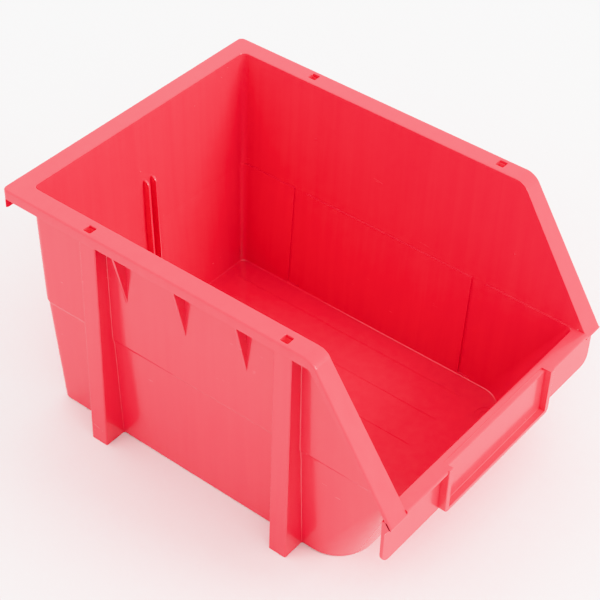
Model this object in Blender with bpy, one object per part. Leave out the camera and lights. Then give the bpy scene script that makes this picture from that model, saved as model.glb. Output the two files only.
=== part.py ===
"""Stackable open-fronted storage bin: one polypropylene moulding, drawn as its named regions.

Axes: +X is the bin's right side seen from its open front, +Y its back, +Z up. The origin is at the
centre of the footprint on the ground. Every region is a closed solid with a thin seam to the next.
"""

import math

import bmesh
import bpy
from mathutils import Matrix, Vector

# Overall sizes, in metres
BIN_WIDTH = 0.200
BIN_DEPTH = 0.2665
BIN_HEIGHT = 0.155

# Plate thicknesses and the seam between neighbouring regions
WALL = 0.0022
FLOOR_THICKNESS = 0.0024
RIM_THICKNESS = 0.0020
SKIRT_THICKNESS = 0.0020
SEAM = 0.0003

# Rim: how far it reaches out from the inside of the walls, and how deep its edge turns down
RIM_SIDE_REACH = 0.012
RIM_BACK_REACH = 0.012
SKIRT_DEPTH = 0.0066
SKIRT_SLOPE_DEPTH = 0.0046
HANGING_LIP_DEPTH = 0.0132
RIM_CORNER_RADIUS = 0.0035
LIP_CORNER_RADIUS = 0.0020

# Open mouth: the rim bends down over this run, with this outer bend radius
MOUTH_RUN = 0.0540
BEND_RADIUS = 0.0100
MOUTH_TIP_DROP = 0.0027
SKIRT_TIP_WIDTH = 0.0004

# Walls: height of the step and of the front ledge, the step's width and each wall's lean
LEDGE_HEIGHT = 0.0757
STEP_WIDTH = 0.0010
BACK_STEP_WIDTH = 0.0003
SIDE_LEAN_UPPER = 0.0018
SIDE_LEAN_LOWER = 0.0039
BACK_LEAN_UPPER = 0.0022
BACK_LEAN_LOWER = 0.0044
FRONT_LEAN = 0.0302

# Rounded vertical corners, measured on the outside
FRONT_CORNER_FOOT = 0.0230
FRONT_CORNER_TOP = 0.0050
REAR_CORNER = 0.0060

# Front ledge and flange
LEDGE_REACH = 0.0095
LEDGE_THICKNESS = 0.0022
FLANGE_THICKNESS = 0.0021
FLANGE_FOOT = 0.0435
FLANGE_SETBACK = 0.0040
FLANGE_SHOULDER = 0.0068
FLANGE_CORNER_RADIUS = 0.0070

# Label holder
LABEL_WIDTH = 0.1010
LABEL_BAR = 0.0035
LABEL_PROUD = 0.0007
LABEL_POCKET = 0.0039
LABEL_FOOT_LIP = 0.0026
LABEL_FOOT_RISE = 0.0024
LABEL_CORNER_RADIUS = 0.0035
LABEL_LEDGE_SINK = 0.0010
LABEL_LEDGE_SHELF = 0.0026

# Posts and the square holes above them
POST_WIDTH = 0.0116
POST_WALL = 0.0013
REAR_POST_SETBACK = 0.0604
FRONT_POST_SETBACK = 0.0193
HOLE_WIDTH = 0.0052
HOLE_LENGTH = 0.0050
HOLE_INSET = 0.0056

# Gussets between the posts
GUSSET_COUNT = 3
GUSSET_THICKNESS = 0.0018
GUSSET_DROP = 0.0420
GUSSET_NOSE = 0.0070
FIRST_GUSSET_SETBACK = 0.0185
LAST_GUSSET_SETBACK = 0.0303

# Ribs inside the back wall
BACK_RIB_SPACING = 0.0062
BACK_RIB_THICKNESS = 0.0018
BACK_RIB_TOP = 0.1120
BACK_RIB_REACH = 0.0040
BACK_RIB_ROUND = 0.0040

# Material of the moulding
RED = (0.72, 0.012, 0.028, 1.0)
ROUGHNESS = 0.34
METALLIC = 0.0

ARC_STEPS = 10
CORNER_STEPS = 14
REACH_PAST = 0.05

# Places that follow from the sizes above
HALF_WIDTH = BIN_WIDTH / 2
REAR = BIN_DEPTH / 2
FRONT = -REAR
FLANGE_FACE = FRONT + LABEL_PROUD
LEDGE_INNER = FLANGE_FACE + LEDGE_REACH
BEND = FLANGE_FACE + MOUTH_RUN
RIM_UNDERSIDE = BIN_HEIGHT - RIM_THICKNESS
WALL_TOP = RIM_UNDERSIDE - SEAM
MOUTH_TIP = LEDGE_HEIGHT - MOUTH_TIP_DROP
MOUTH_ANGLE = math.atan2(BIN_HEIGHT - MOUTH_TIP, MOUTH_RUN)
LEDGE_UNDERSIDE = LEDGE_HEIGHT - LEDGE_THICKNESS
FLANGE_TOP = LEDGE_UNDERSIDE - SEAM
POST_FACE = HALF_WIDTH - SKIRT_THICKNESS - SEAM
REAR_POST = REAR - REAR_POST_SETBACK
FRONT_POST = BEND + FRONT_POST_SETBACK
SIDES = (("left", -1), ("right", 1))


def clear_scene():
    """Remove every object, so that the script gives the same model each time it runs."""
    for item in list(bpy.data.objects):
        bpy.data.objects.remove(item, do_unlink=True)


def moulding_material(name):
    """Return the region's own material, the moulding's semi-gloss red plastic."""
    material = bpy.data.materials.new(name + "_plastic")
    material.use_nodes = True
    shader = material.node_tree.nodes["Principled BSDF"]
    shader.inputs["Base Color"].default_value = RED
    shader.inputs["Roughness"].default_value = ROUGHNESS
    shader.inputs["Metallic"].default_value = METALLIC
    material.diffuse_color = RED
    return material


# ---------------------------------------------------------------- faces of the walls, by height


def side_inner(height):
    """Distance from the centre plane to the inside of a side wall, on the upper wall's line."""
    upper_span = BIN_HEIGHT - LEDGE_HEIGHT
    return HALF_WIDTH - RIM_SIDE_REACH - SIDE_LEAN_UPPER * (BIN_HEIGHT - height) / upper_span


def side_inner_lower(height):
    """Distance from the centre plane to the inside of a side wall below the step."""
    return side_inner(LEDGE_HEIGHT) - STEP_WIDTH - SIDE_LEAN_LOWER * (LEDGE_HEIGHT - height) / LEDGE_HEIGHT


def back_inner(height):
    """Y of the inside of the back wall above the step."""
    upper_span = BIN_HEIGHT - LEDGE_HEIGHT
    return REAR - RIM_BACK_REACH - BACK_LEAN_UPPER * (BIN_HEIGHT - height) / upper_span


def back_inner_lower(height):
    """Y of the inside of the back wall below the step."""
    return back_inner(LEDGE_HEIGHT) - BACK_STEP_WIDTH - BACK_LEAN_LOWER * (LEDGE_HEIGHT - height) / LEDGE_HEIGHT


def front_wall_slope_thickness():
    """Thickness of the leaning front wall measured level."""
    return WALL * math.hypot(FRONT_LEAN, LEDGE_HEIGHT) / LEDGE_HEIGHT


def front_inner(height):
    """Y of the inside of the front wall."""
    return LEDGE_INNER + FRONT_LEAN * (LEDGE_HEIGHT - height) / LEDGE_HEIGHT


def front_outer(height):
    """Y of the outside of the front wall."""
    return front_inner(height) - front_wall_slope_thickness()


def front_corner_radius(height):
    """Outside radius of the front corners, large at the floor and small under the ledge."""
    return FRONT_CORNER_TOP + (FRONT_CORNER_FOOT - FRONT_CORNER_TOP) * (LEDGE_HEIGHT - height) / LEDGE_HEIGHT


def mouth_point(along, depth):
    """Point (y, z) on the mouth's sloping line, `along` it from the bend and `depth` below it."""
    down = MOUTH_ANGLE
    y = BEND - along * math.cos(down) + depth * math.sin(down)
    z = BIN_HEIGHT - along * math.sin(down) - depth * math.cos(down)
    return y, z


# ---------------------------------------------------------------- mesh helpers


def arc(centre, radius, start, end, steps):
    """Points of a circular arc in a plane, angles in radians."""
    turn = (end - start) / steps
    return [
        (centre[0] + radius * math.cos(start + turn * k), centre[1] + radius * math.sin(start + turn * k))
        for k in range(steps + 1)
    ]


def add_object(name, mesh):
    """Link a mesh to the scene as a named region with its own material."""
    region = bpy.data.objects.new(name, mesh)
    bpy.context.scene.collection.objects.link(region)
    mesh.materials.append(moulding_material(name))
    return region


def mesh_from(builder, name):
    """Turn a bmesh into a mesh with outward faces."""
    bmesh.ops.recalc_face_normals(builder, faces=builder.faces)
    mesh = bpy.data.meshes.new(name)
    builder.to_mesh(mesh)
    builder.free()
    return mesh


def prism_mesh(name, outline, axis, low, high):
    """Extrude a flat outline along an axis. An outline is (y, z) for X, (x, z) for Y, (x, y) for Z."""
    places = {
        "X": lambda u, v: Vector((low, u, v)),
        "Y": lambda u, v: Vector((u, low, v)),
        "Z": lambda u, v: Vector((u, v, low)),
    }
    pushes = {"X": Vector((1, 0, 0)), "Y": Vector((0, 1, 0)), "Z": Vector((0, 0, 1))}
    builder = bmesh.new()
    corners = [builder.verts.new(places[axis](u, v)) for u, v in outline]
    face = builder.faces.new(corners)
    pushed = bmesh.ops.extrude_face_region(builder, geom=[face])
    moved = [item for item in pushed["geom"] if isinstance(item, bmesh.types.BMVert)]
    bmesh.ops.translate(builder, verts=moved, vec=pushes[axis] * (high - low))
    return mesh_from(builder, name)


def prism(name, outline, axis, low, high):
    """A region made by extruding an outline along an axis."""
    return add_object(name, prism_mesh(name, outline, axis, low, high))


def box_outline(u_low, u_high, v_low, v_high):
    """Four corners of a rectangle."""
    return [(u_low, v_low), (u_high, v_low), (u_high, v_high), (u_low, v_high)]


def cut(region, operation, outline, axis, low, high):
    """Intersect or subtract an extruded outline, kept as a hidden cutter of the region."""
    name = f"{region.name}_cutter_{len(region.modifiers)}"
    cutter = bpy.data.objects.new(name, prism_mesh(name, outline, axis, low, high))
    bpy.context.scene.collection.objects.link(cutter)
    cutter.hide_render = True
    cutter.display_type = "WIRE"
    boolean = region.modifiers.new(name, "BOOLEAN")
    boolean.operation = operation
    boolean.solver = "EXACT"
    boolean.object = cutter
    return region


def mirrored(outline, side):
    """Mirror an outline's first coordinate for the left side."""
    return [(side * u, v) for u, v in outline]


def loft(name, sections):
    """Bridge closed loops of equal length into one closed body, capped at both ends."""
    builder = bmesh.new()
    loops = []
    for section in sections:
        corners = [builder.verts.new(Vector(point)) for point in section]
        loops.append([builder.edges.new((a, b)) for a, b in zip(corners, corners[1:] + corners[:1])])
    builder.faces.new([edge.verts[0] for edge in loops[0]])
    builder.faces.new([edge.verts[0] for edge in loops[-1]])
    for lower, upper in zip(loops, loops[1:]):
        count = len(lower)
        for k in range(count):
            a, b = lower[k].verts
            c, d = upper[k].verts
            builder.faces.new((a, b, d, c))
    return add_object(name, mesh_from(builder, name))


# ---------------------------------------------------------------- floor and walls


def wall_profile(inner_upper, inner_lower, foot, top):
    """Closed section of a stepped, leaning wall as (distance, height), inside first."""
    return [
        (inner_lower(foot), foot),
        (inner_lower(LEDGE_HEIGHT), LEDGE_HEIGHT),
        (inner_upper(LEDGE_HEIGHT), LEDGE_HEIGHT),
        (inner_upper(top), top),
        (inner_upper(top) + WALL, top),
        (inner_upper(LEDGE_HEIGHT) + WALL, LEDGE_HEIGHT),
        (inner_lower(LEDGE_HEIGHT) + WALL, LEDGE_HEIGHT),
        (inner_lower(foot) + WALL, foot),
    ]


def build_floor():
    """Flat floor inside the feet of the walls, with the walls' corner radii."""
    half = side_inner_lower(0) - SEAM
    back = back_inner_lower(0) - SEAM
    front = front_inner(0) + SEAM
    front_radius = FRONT_CORNER_FOOT - WALL - SEAM
    rear_radius = REAR_CORNER - WALL - SEAM
    outline = []
    outline += arc((half - rear_radius, back - rear_radius), rear_radius, 0, math.pi / 2, ARC_STEPS)
    outline += arc((rear_radius - half, back - rear_radius), rear_radius, math.pi / 2, math.pi, ARC_STEPS)
    outline += arc((front_radius - half, front + front_radius), front_radius, math.pi, 1.5 * math.pi, CORNER_STEPS)
    outline += arc((half - front_radius, front + front_radius), front_radius, 1.5 * math.pi, 2 * math.pi, CORNER_STEPS)
    prism("floor_panel", outline, "Z", 0, FLOOR_THICKNESS)


def mouth_outline(depth, low_end):
    """Top edge of a plate under the mouth's rim: flat, round the bend, then down the slope."""
    radius = BEND_RADIUS - depth
    tangent = BEND_RADIUS * math.tan(MOUTH_ANGLE / 2)
    centre = (BEND + tangent, BIN_HEIGHT - BEND_RADIUS)
    bend = arc(centre, radius, math.pi / 2, math.pi / 2 + MOUTH_ANGLE, ARC_STEPS)
    along = (BIN_HEIGHT - low_end - depth * math.cos(MOUTH_ANGLE)) / math.sin(MOUTH_ANGLE)
    return bend + [mouth_point(along, depth)]


def build_side_walls():
    """Side walls: stepped section, cut to the corners, the step and the sloping mouth."""
    under_rim = RIM_THICKNESS + SEAM
    wall_seat = LEDGE_HEIGHT + SEAM
    rear_top = back_inner(WALL_TOP) + WALL - REAR_CORNER - SEAM
    rear_step = back_inner(LEDGE_HEIGHT) + WALL - REAR_CORNER - SEAM
    rear_step_lower = back_inner_lower(LEDGE_HEIGHT) + WALL - REAR_CORNER - SEAM
    rear_foot = back_inner_lower(0) + WALL - REAR_CORNER - SEAM
    front_foot = front_outer(0) + front_corner_radius(0) + SEAM
    front_step = front_outer(LEDGE_UNDERSIDE) + front_corner_radius(LEDGE_UNDERSIDE) + SEAM
    side_view = [(rear_top, WALL_TOP), *mouth_outline(under_rim, wall_seat)]
    side_view += [(front_step, wall_seat), (front_step, LEDGE_UNDERSIDE), (front_foot, 0)]
    side_view += [(rear_foot, 0), (rear_step_lower, LEDGE_HEIGHT), (rear_step, LEDGE_HEIGHT)]
    profile = wall_profile(side_inner, side_inner_lower, 0, WALL_TOP)
    for label, side in SIDES:
        wall = prism(f"side_wall_{label}", mirrored(profile, side), "Y", FRONT, REAR)
        cut(wall, "INTERSECT", side_view, "X", *sorted((0, side * BIN_WIDTH)))


def build_back_wall():
    """Back wall between the rear corners."""
    profile = wall_profile(back_inner, back_inner_lower, 0, WALL_TOP)
    outer = [
        side_inner_lower(0) + WALL - REAR_CORNER - SEAM,
        side_inner_lower(LEDGE_HEIGHT) + WALL - REAR_CORNER - SEAM,
        side_inner(LEDGE_HEIGHT) + WALL - REAR_CORNER - SEAM,
        side_inner(WALL_TOP) + WALL - REAR_CORNER - SEAM,
    ]
    heights = [0, LEDGE_HEIGHT, LEDGE_HEIGHT, WALL_TOP]
    right = list(zip(outer, heights))
    front_view = right + [(-x, z) for x, z in reversed(right)]
    wall = prism("back_wall", profile, "X", -HALF_WIDTH, HALF_WIDTH)
    cut(wall, "INTERSECT", front_view, "Y", 0, BIN_DEPTH)


def build_front_wall():
    """Low front wall, leaning outwards, between the front corners."""
    top = LEDGE_UNDERSIDE - SEAM
    profile = [(front_inner(0), 0), (front_outer(0), 0), (front_outer(top), top), (front_inner(top), top)]
    foot_end = side_inner_lower(0) + WALL - front_corner_radius(0) - SEAM
    top_end = side_inner_lower(top) + WALL - front_corner_radius(top) - SEAM
    front_view = [(-foot_end, 0), (foot_end, 0), (top_end, top), (-top_end, top)]
    wall = prism("front_wall", profile, "X", -HALF_WIDTH, HALF_WIDTH)
    cut(wall, "INTERSECT", front_view, "Y", -BIN_DEPTH, 0)


def corner_section(centre_x, centre_y, radius, thickness, height, start, side):
    """Quarter ring of a wall corner at one height, outer arc out and inner arc back."""
    outer = arc((centre_x, centre_y), radius, start, start + math.pi / 2, CORNER_STEPS)
    inner = arc((centre_x, centre_y), radius - thickness, start + math.pi / 2, start, CORNER_STEPS)
    return [(side * x, y, height) for x, y in outer + inner]


def build_front_corners():
    """Front corners, conical from the wide radius at the floor to the tight one at the ledge."""
    top = LEDGE_UNDERSIDE - SEAM
    for label, side in SIDES:
        sections = []
        for height in (0, top):
            radius = front_corner_radius(height)
            centre_x = side_inner_lower(height) + WALL - radius
            centre_y = front_outer(height) + radius
            sections.append(corner_section(centre_x, centre_y, radius, WALL, height, 1.5 * math.pi, side))
        loft(f"corner_front_{label}", sections)


def build_rear_corners():
    """Rear corners, following both walls' lean and step."""
    stations = [
        (0, side_inner_lower(0), back_inner_lower(0)),
        (LEDGE_HEIGHT, side_inner_lower(LEDGE_HEIGHT), back_inner_lower(LEDGE_HEIGHT)),
        (LEDGE_HEIGHT, side_inner(LEDGE_HEIGHT), back_inner(LEDGE_HEIGHT)),
        (WALL_TOP, side_inner(WALL_TOP), back_inner(WALL_TOP)),
    ]
    for label, side in SIDES:
        sections = [
            corner_section(x + WALL - REAR_CORNER, y + WALL - REAR_CORNER, REAR_CORNER, WALL, height, 0, side)
            for height, x, y in stations
        ]
        loft(f"corner_rear_{label}", sections)


def build_back_ribs():
    """Two small upright ribs on the inside of the back wall, rounded at the top."""
    foot = FLOOR_THICKNESS + SEAM
    face_top = back_inner(BACK_RIB_TOP) - SEAM - BACK_RIB_REACH
    face_foot = back_inner_lower(foot) - SEAM - BACK_RIB_REACH
    round_foot = BACK_RIB_TOP - BACK_RIB_ROUND
    nose = arc((face_top + BACK_RIB_ROUND, round_foot), BACK_RIB_ROUND, math.pi, math.pi / 2, ARC_STEPS)
    side_view = [(face_foot, foot), *nose]
    if nose[-1][0] < back_inner(BACK_RIB_TOP) - SEAM:
        side_view.append((back_inner(BACK_RIB_TOP) - SEAM, BACK_RIB_TOP))
    side_view += [(back_inner(LEDGE_HEIGHT) - SEAM, LEDGE_HEIGHT + SEAM)]
    side_view += [(back_inner_lower(LEDGE_HEIGHT) - SEAM, LEDGE_HEIGHT + SEAM)]
    side_view += [(back_inner_lower(foot) - SEAM, foot)]
    for label, side in SIDES:
        centre = side * BACK_RIB_SPACING / 2
        low = centre - BACK_RIB_THICKNESS / 2
        prism(f"back_rib_{label}", side_view, "X", low, low + BACK_RIB_THICKNESS)


# ---------------------------------------------------------------- rim


def build_rims():
    """Flat top flange on the back and both sides, with the square holes above the posts."""
    back_edge = REAR - RIM_BACK_REACH
    radius = RIM_CORNER_RADIUS
    outline = [(-HALF_WIDTH, back_edge), (HALF_WIDTH, back_edge)]
    outline += arc((HALF_WIDTH - radius, REAR - radius), radius, 0, math.pi / 2, ARC_STEPS)
    outline += arc((radius - HALF_WIDTH, REAR - radius), radius, math.pi / 2, math.pi, ARC_STEPS)
    prism("rim_back", outline, "Z", RIM_UNDERSIDE, BIN_HEIGHT)
    tangent = BEND_RADIUS * math.tan(MOUTH_ANGLE / 2)
    inner = HALF_WIDTH - RIM_SIDE_REACH
    for label, side in SIDES:
        plan = mirrored(box_outline(inner, HALF_WIDTH, BEND + tangent + SEAM, back_edge - SEAM), side)
        rim = prism(f"rim_{label}", plan, "Z", RIM_UNDERSIDE, BIN_HEIGHT)
        for post in (REAR_POST, FRONT_POST):
            centre = HALF_WIDTH - HOLE_INSET
            hole = box_outline(
                centre - HOLE_WIDTH / 2, centre + HOLE_WIDTH / 2, post - HOLE_LENGTH / 2, post + HOLE_LENGTH / 2
            )
            cut(rim, "DIFFERENCE", mirrored(hole, side), "Z", RIM_UNDERSIDE - REACH_PAST, BIN_HEIGHT + REACH_PAST)


def build_mouth_rims():
    """The flange where it bends down along the mouth, to the front face of the flange."""
    upper = mouth_outline(0, MOUTH_TIP)
    lower = mouth_outline(RIM_THICKNESS, MOUTH_TIP - 2 * RIM_THICKNESS)
    strip = upper[:-1] + [mouth_point(BIN_HEIGHT, 0), mouth_point(BIN_HEIGHT, RIM_THICKNESS)] + lower[-2::-1]
    foot = MOUTH_TIP - RIM_THICKNESS / math.cos(MOUTH_ANGLE) - SEAM
    inner = [
        (side_inner(foot), foot),
        (HALF_WIDTH, foot),
        (HALF_WIDTH, BIN_HEIGHT + REACH_PAST),
        (side_inner(BIN_HEIGHT), BIN_HEIGHT + REACH_PAST),
        (side_inner(BIN_HEIGHT), BIN_HEIGHT),
    ]
    ledge_end = ledge_half_width() + SEAM
    for label, side in SIDES:
        rim = prism(f"rim_slope_{label}", strip, "X", *sorted((0, side * BIN_WIDTH)))
        cut(rim, "INTERSECT", mirrored(inner, side), "Y", -BIN_DEPTH, BIN_DEPTH)
        cut(rim, "DIFFERENCE", box_outline(-BIN_DEPTH, FLANGE_FACE, 0, BIN_HEIGHT), "X", -BIN_WIDTH, BIN_WIDTH)
        ledge_slot = box_outline(-BIN_DEPTH, 0, 0, LEDGE_HEIGHT + SEAM)
        cut(rim, "DIFFERENCE", ledge_slot, "X", *sorted((0, side * ledge_end)))


def build_skirts():
    """Down-turned outer edge of the flange: straight, round the bend, then tapering to the tip."""
    under = RIM_THICKNESS + SEAM
    tangent = BEND_RADIUS * math.tan(MOUTH_ANGLE / 2)
    flat_front = BEND + tangent + SEAM
    flat_rear = REAR - SKIRT_THICKNESS - SEAM
    foot = BIN_HEIGHT - SKIRT_DEPTH
    top = mouth_outline(under, MOUTH_TIP)
    tip_top = top[-1]
    tip_foot = (tip_top[0] + SKIRT_TIP_WIDTH, tip_top[1])
    slope_start = (SKIRT_DEPTH - SKIRT_SLOPE_DEPTH * math.cos(MOUTH_ANGLE)) / math.sin(MOUTH_ANGLE)
    elbow = mouth_point(slope_start, SKIRT_SLOPE_DEPTH)
    slope_view = top + [tip_foot, elbow, (BEND + tangent, foot)]
    for label, side in SIDES:
        low, high = sorted((side * (HALF_WIDTH - SKIRT_THICKNESS), side * HALF_WIDTH))
        prism(f"skirt_{label}", box_outline(flat_front, flat_rear, foot, WALL_TOP), "X", low, high)
        prism(f"skirt_slope_{label}", slope_view, "X", low, high)


def build_hanging_lip():
    """Deep down-turned edge at the back, which hooks over a rail."""
    radius = LIP_CORNER_RADIUS
    foot = BIN_HEIGHT - HANGING_LIP_DEPTH
    end = HALF_WIDTH - RIM_CORNER_RADIUS + SKIRT_THICKNESS / 2
    outline = [(end, WALL_TOP), (-end, WALL_TOP)]
    outline += arc((radius - end, foot + radius), radius, math.pi, 1.5 * math.pi, ARC_STEPS)
    outline += arc((end - radius, foot + radius), radius, 1.5 * math.pi, 2 * math.pi, ARC_STEPS)
    prism("hanging_lip", outline, "Y", REAR - SKIRT_THICKNESS, REAR)


# ---------------------------------------------------------------- posts and gussets


def wall_side_outer(height_low, height_high):
    """Outside of a side wall plus the seam, between two heights, as (x, z) from the top down."""
    return [
        (side_inner(height_high) + WALL + SEAM, height_high),
        (side_inner(LEDGE_HEIGHT) + WALL + SEAM, LEDGE_HEIGHT - SEAM),
        (side_inner_lower(LEDGE_HEIGHT) + WALL + SEAM, LEDGE_HEIGHT - SEAM),
        (side_inner_lower(height_low) + WALL + SEAM, height_low),
    ]


def build_posts():
    """Hollow stacking posts: channels open to the wall, from the rim down to the ground."""
    section = [(POST_FACE, 0), (POST_FACE, WALL_TOP), *wall_side_outer(0, WALL_TOP)]
    for label, side in SIDES:
        for place, centre in (("rear", REAR_POST), ("front", FRONT_POST)):
            low = centre - POST_WIDTH / 2
            post = prism(f"post_{place}_{label}", mirrored(section, side), "Y", low, low + POST_WIDTH)
            half = POST_WIDTH / 2 - POST_WALL
            core = mirrored(box_outline(0, POST_FACE - POST_WALL, centre - half, centre + half), side)
            cut(post, "DIFFERENCE", core, "Z", -REACH_PAST, BIN_HEIGHT + REACH_PAST)


def build_gussets():
    """Thin triangular webs under the side flanges, evenly spaced between the posts."""
    first = REAR_POST - FIRST_GUSSET_SETBACK
    last = FRONT_POST + LAST_GUSSET_SETBACK
    apex = WALL_TOP - GUSSET_DROP
    apex_x = side_inner(apex) + WALL + SEAM
    top_x = side_inner(WALL_TOP) + WALL + SEAM
    outline = [(top_x, WALL_TOP), (apex_x, apex), (POST_FACE, WALL_TOP - GUSSET_NOSE), (POST_FACE, WALL_TOP)]
    for label, side in SIDES:
        for number in range(GUSSET_COUNT):
            centre = first + (last - first) * number / (GUSSET_COUNT - 1)
            low = centre - GUSSET_THICKNESS / 2
            prism(f"gusset_{label}_{number + 1}", mirrored(outline, side), "Y", low, low + GUSSET_THICKNESS)


# ---------------------------------------------------------------- front ledge, flange and label holder


def ledge_half_width():
    """Half of the ledge's length, up to the outside of the side walls above it."""
    return side_inner(LEDGE_HEIGHT) + WALL - SEAM


def label_inner():
    """Half of the label pocket's width."""
    return LABEL_WIDTH / 2 - LABEL_BAR


def label_face():
    """Y of the back face of the label pocket."""
    return FRONT + LABEL_POCKET


def build_ledge():
    """Flat top of the front wall, with a notch and a sunk shelf over the label pocket."""
    half = ledge_half_width()
    plan = box_outline(-half, half, FLANGE_FACE, LEDGE_INNER)
    ledge = prism("front_ledge", plan, "Z", LEDGE_UNDERSIDE, LEDGE_HEIGHT)
    pocket = label_inner()
    radius = LABEL_CORNER_RADIUS
    notch = [(pocket, FRONT - REACH_PAST), (pocket, label_face() - radius)]
    notch += arc((pocket - radius, label_face() - radius), radius, 0, math.pi / 2, ARC_STEPS)[1:]
    notch += [(-u, v) for u, v in reversed(notch)]
    cut(ledge, "DIFFERENCE", notch, "Z", -REACH_PAST, BIN_HEIGHT)
    shelf = [(u, v + LABEL_LEDGE_SHELF) for u, v in notch]
    cut(ledge, "DIFFERENCE", shelf, "Z", LEDGE_HEIGHT - LABEL_LEDGE_SINK, BIN_HEIGHT)


def flange_slab(top, low):
    """Side view of the flange: an upright plate that slopes forward to the ledge's edge at the top."""
    face = FLANGE_FACE + FLANGE_SETBACK
    shoulder = top - FLANGE_SHOULDER
    return [
        (face, low),
        (face, shoulder),
        (FLANGE_FACE, top),
        (face + FLANGE_THICKNESS, top),
        (face + FLANGE_THICKNESS, low),
    ]


def build_flange():
    """Plate hanging below the ledge on both sides of the label holder, lower under the mouth's rims."""
    radius = FLANGE_CORNER_RADIUS
    inner = LABEL_WIDTH / 2 + SEAM
    rim_foot = MOUTH_TIP - RIM_THICKNESS / math.cos(MOUTH_ANGLE) - 2 * SEAM
    shoulder = ledge_half_width() - SEAM
    view = [(inner, FLANGE_FOOT)]
    view += arc((HALF_WIDTH - radius, FLANGE_FOOT + radius), radius, 1.5 * math.pi, 2 * math.pi, ARC_STEPS)
    view += [(HALF_WIDTH, rim_foot), (shoulder, rim_foot), (shoulder, FLANGE_TOP), (inner, FLANGE_TOP)]
    for label, side in SIDES:
        flange = prism(f"front_flange_{label}", mirrored(view, side), "Y", -BIN_DEPTH, 0)
        cut(flange, "INTERSECT", flange_slab(FLANGE_TOP, FLANGE_FOOT - REACH_PAST), "X", -BIN_WIDTH, BIN_WIDTH)
        under_rim = [
            (-BIN_DEPTH, rim_foot),
            (FLANGE_FACE, rim_foot),
            (FLANGE_FACE + FLANGE_SETBACK, rim_foot - FLANGE_SHOULDER),
            (-BIN_DEPTH, rim_foot - FLANGE_SHOULDER),
        ]
        cut(flange, "DIFFERENCE", under_rim, "X", *sorted((side * (shoulder - SEAM), side * BIN_WIDTH)))


def build_label_holder():
    """Label pocket: a back panel between two bars and a bottom bar, open at the top."""
    pocket = label_inner()
    back = label_face() + FLANGE_THICKNESS
    panel_end = pocket - SEAM
    prism("label_panel", box_outline(label_face(), back, FLANGE_FOOT, FLANGE_TOP), "X", -panel_end, panel_end)
    for label, side in SIDES:
        low, high = sorted((side * pocket, side * LABEL_WIDTH / 2))
        prism(f"label_bar_{label}", box_outline(FRONT, back, FLANGE_FOOT, FLANGE_TOP), "X", low, high)
    bar_back = label_face() - SEAM
    lip = FLANGE_FOOT + LABEL_FOOT_LIP
    section = [(FRONT, FLANGE_FOOT), (FRONT, lip), (bar_back, lip + LABEL_FOOT_RISE), (bar_back, FLANGE_FOOT)]
    prism("label_bar_bottom", section, "X", -panel_end, panel_end)


def shade_regions():
    """Shade each region smooth with its hard edges kept."""
    for region in bpy.data.objects:
        if region.type == "MESH" and not region.hide_render:
            region.data.shade_smooth()
            region.data.set_sharp_from_angle(angle=math.radians(30))


def build():
    """Build every region of the bin."""
    clear_scene()
    build_floor()
    build_side_walls()
    build_back_wall()
    build_front_wall()
    build_front_corners()
    build_rear_corners()
    build_back_ribs()
    build_rims()
    build_mouth_rims()
    build_skirts()
    build_hanging_lip()
    build_posts()
    build_gussets()
    build_ledge()
    build_flange()
    build_label_holder()
    shade_regions()


if __name__ == "__main__":
    build()
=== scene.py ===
"""Stackable storage bin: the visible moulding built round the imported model, with its studio."""

import logging
import math
from dataclasses import dataclass
from enum import Enum
from typing import Callable, Iterable, Sequence

import bmesh
import bpy
from mathutils import Matrix, Vector


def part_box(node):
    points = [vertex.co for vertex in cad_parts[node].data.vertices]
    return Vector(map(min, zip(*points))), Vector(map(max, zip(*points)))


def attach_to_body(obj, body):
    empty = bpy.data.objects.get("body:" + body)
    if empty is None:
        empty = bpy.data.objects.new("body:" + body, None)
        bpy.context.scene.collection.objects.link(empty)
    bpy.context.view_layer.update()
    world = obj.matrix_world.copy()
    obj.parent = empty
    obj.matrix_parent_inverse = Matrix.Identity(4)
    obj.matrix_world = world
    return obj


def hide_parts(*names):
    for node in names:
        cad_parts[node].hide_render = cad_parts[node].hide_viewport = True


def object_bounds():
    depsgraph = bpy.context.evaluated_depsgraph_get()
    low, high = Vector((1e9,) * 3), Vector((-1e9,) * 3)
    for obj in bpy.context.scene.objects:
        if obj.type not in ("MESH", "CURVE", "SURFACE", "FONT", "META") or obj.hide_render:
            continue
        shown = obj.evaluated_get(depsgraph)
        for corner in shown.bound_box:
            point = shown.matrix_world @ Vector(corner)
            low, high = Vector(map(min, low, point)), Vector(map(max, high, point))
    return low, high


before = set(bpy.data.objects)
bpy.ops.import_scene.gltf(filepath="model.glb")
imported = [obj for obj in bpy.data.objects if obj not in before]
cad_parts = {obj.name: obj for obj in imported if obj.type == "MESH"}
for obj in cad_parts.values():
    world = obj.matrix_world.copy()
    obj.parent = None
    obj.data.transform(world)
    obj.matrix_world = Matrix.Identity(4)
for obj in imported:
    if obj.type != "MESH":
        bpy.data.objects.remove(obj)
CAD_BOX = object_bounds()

logging.basicConfig(level=logging.INFO, format="%(name)s: %(message)s")
LOG = logging.getLogger("storage_bin")

BODY = "root"
# Face attribute marking where the plastic gets a painted glow: emission in place of light through the thin
# walls.
PAINTED_GLOW_MASK = "painted_glow_mask"

MM = 0.001
WELD = 0.002 * MM  # vertices closer than this are one
SLIVER = 0.001 * MM  # edges shorter than this go
NEAR = 0.01 * MM  # an edge this close to a plane lies in it
CLOSE = 0.05 * MM  # the same, for planes that a rounding has touched
GAP = 0.1 * MM  # room left round a test on a place
UPRIGHT = 0.1  # an upright face's normal rises or falls less than this
LEVEL = 0.3  # a level or sloping face's normal rises or falls more than this
BROAD = 0.85  # a face square to an axis has more than this of its normal along it
SOFT_ANGLE = 32.0  # degrees; sharper edges stay crisp

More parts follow.
